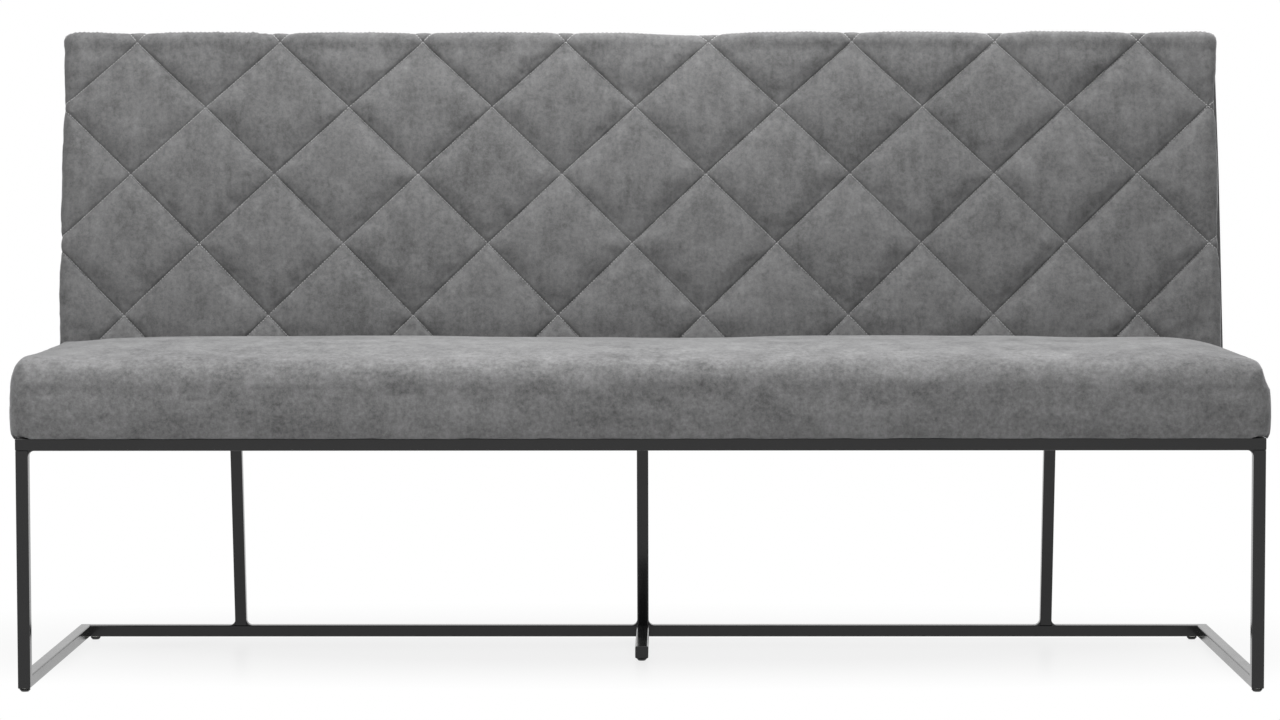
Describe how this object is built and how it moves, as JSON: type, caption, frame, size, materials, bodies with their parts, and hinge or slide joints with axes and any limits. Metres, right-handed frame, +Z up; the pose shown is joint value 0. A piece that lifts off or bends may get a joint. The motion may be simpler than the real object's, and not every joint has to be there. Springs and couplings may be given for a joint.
{
  "type": "upholstered dining bench",
  "caption": "Long dining bench with a crowned seat cushion and a leaning diamond-quilted back, on a welded sled frame of thin square tube with levelling glides.",
  "frame": {"origin": "on the floor, below the middle of the bench", "axes": "+Z up, +X to the right of someone who looks at the front, -Y towards the front"},
  "size_m": [1.806, 0.6438, 0.9566],
  "materials": {
    "powder_coated_steel": "fine satin powder coat",
    "black_plastic": "moulded nylon",
    "zinc_plated_steel": "zinc plated",
    "plywood": "raw birch plywood",
    "timber": "planed pine",
    "foam": "open-cell foam",
    "grey_fabric": "napped suede-like upholstery fabric",
    "black_lining": "thin spunbond lining"
  },
  "bodies": {
    "bench": {"front_left_leg": "powder_coated_steel", "front_right_leg": "powder_coated_steel", "front_apron_rail": "powder_coated_steel", "rear_apron_rail": "powder_coated_steel", "left_apron_rail": "powder_coated_steel", "right_apron_rail": "powder_coated_steel", "left_cross_rail": "powder_coated_steel", "centre_cross_rail": "powder_coated_steel", "right_cross_rail": "powder_coated_steel", "rear_left_post": "powder_coated_steel", "rear_centre_post": "powder_coated_steel", "rear_right_post": "powder_coated_steel", "left_floor_runner": "powder_coated_steel", "right_floor_runner": "powder_coated_steel", "rear_floor_rail_left": "powder_coated_steel", "rear_floor_rail_right": "powder_coated_steel", "centre_floor_runner": "powder_coated_steel", "runner_end_caps": "black_plastic", "weld_fillets": "powder_coated_steel", "seat_fixing_tabs": "powder_coated_steel", "back_upright_left": "powder_coated_steel", "back_upright_centre": "powder_coated_steel", "back_upright_right": "powder_coated_steel", "glide_inserts": "zinc_plated_steel", "seat_deck": "plywood", "seat_foam": "foam", "seat_cover": "grey_fabric", "seat_dust_cover": "black_lining", "seat_screws": "zinc_plated_steel", "seat_tee_nuts": "zinc_plated_steel", "back_top_rail": "timber", "back_middle_rail": "timber", "back_bottom_rail": "timber", "back_left_stile": "timber", "back_right_stile": "timber", "back_inner_stiles": "timber", "back_frame_dowels": "timber", "back_board": "plywood", "back_foam": "foam", "back_quilted_cover": "grey_fabric", "back_rear_cover": "grey_fabric", "back_bolts": "zinc_plated_steel", "back_washers": "zinc_plated_steel", "back_tee_nuts": "zinc_plated_steel"},
    "front_left_glide": {"front_left_glide": "black_plastic"},
    "front_right_glide": {"front_right_glide": "black_plastic"},
    "rear_left_glide": {"rear_left_glide": "black_plastic"},
    "rear_right_glide": {"rear_right_glide": "black_plastic"},
    "centre_glide": {"centre_glide": "black_plastic"}
  },
  "joints": [
    {"name": "front_left_glide_screw", "type": "slide", "parent": "bench", "child": "front_left_glide", "axis": [0, 0, -1], "range_m": [0, 0.008]},
    {"name": "front_right_glide_screw", "type": "slide", "parent": "bench", "child": "front_right_glide", "axis": [0, 0, -1], "range_m": [0, 0.008]},
    {"name": "rear_left_glide_screw", "type": "slide", "parent": "bench", "child": "rear_left_glide", "axis": [0, 0, -1], "range_m": [0, 0.008]},
    {"name": "rear_right_glide_screw", "type": "slide", "parent": "bench", "child": "rear_right_glide", "axis": [0, 0, -1], "range_m": [0, 0.008]},
    {"name": "centre_glide_screw", "type": "slide", "parent": "bench", "child": "centre_glide", "axis": [0, 0, -1], "range_m": [0, 0.008]}
  ]
}
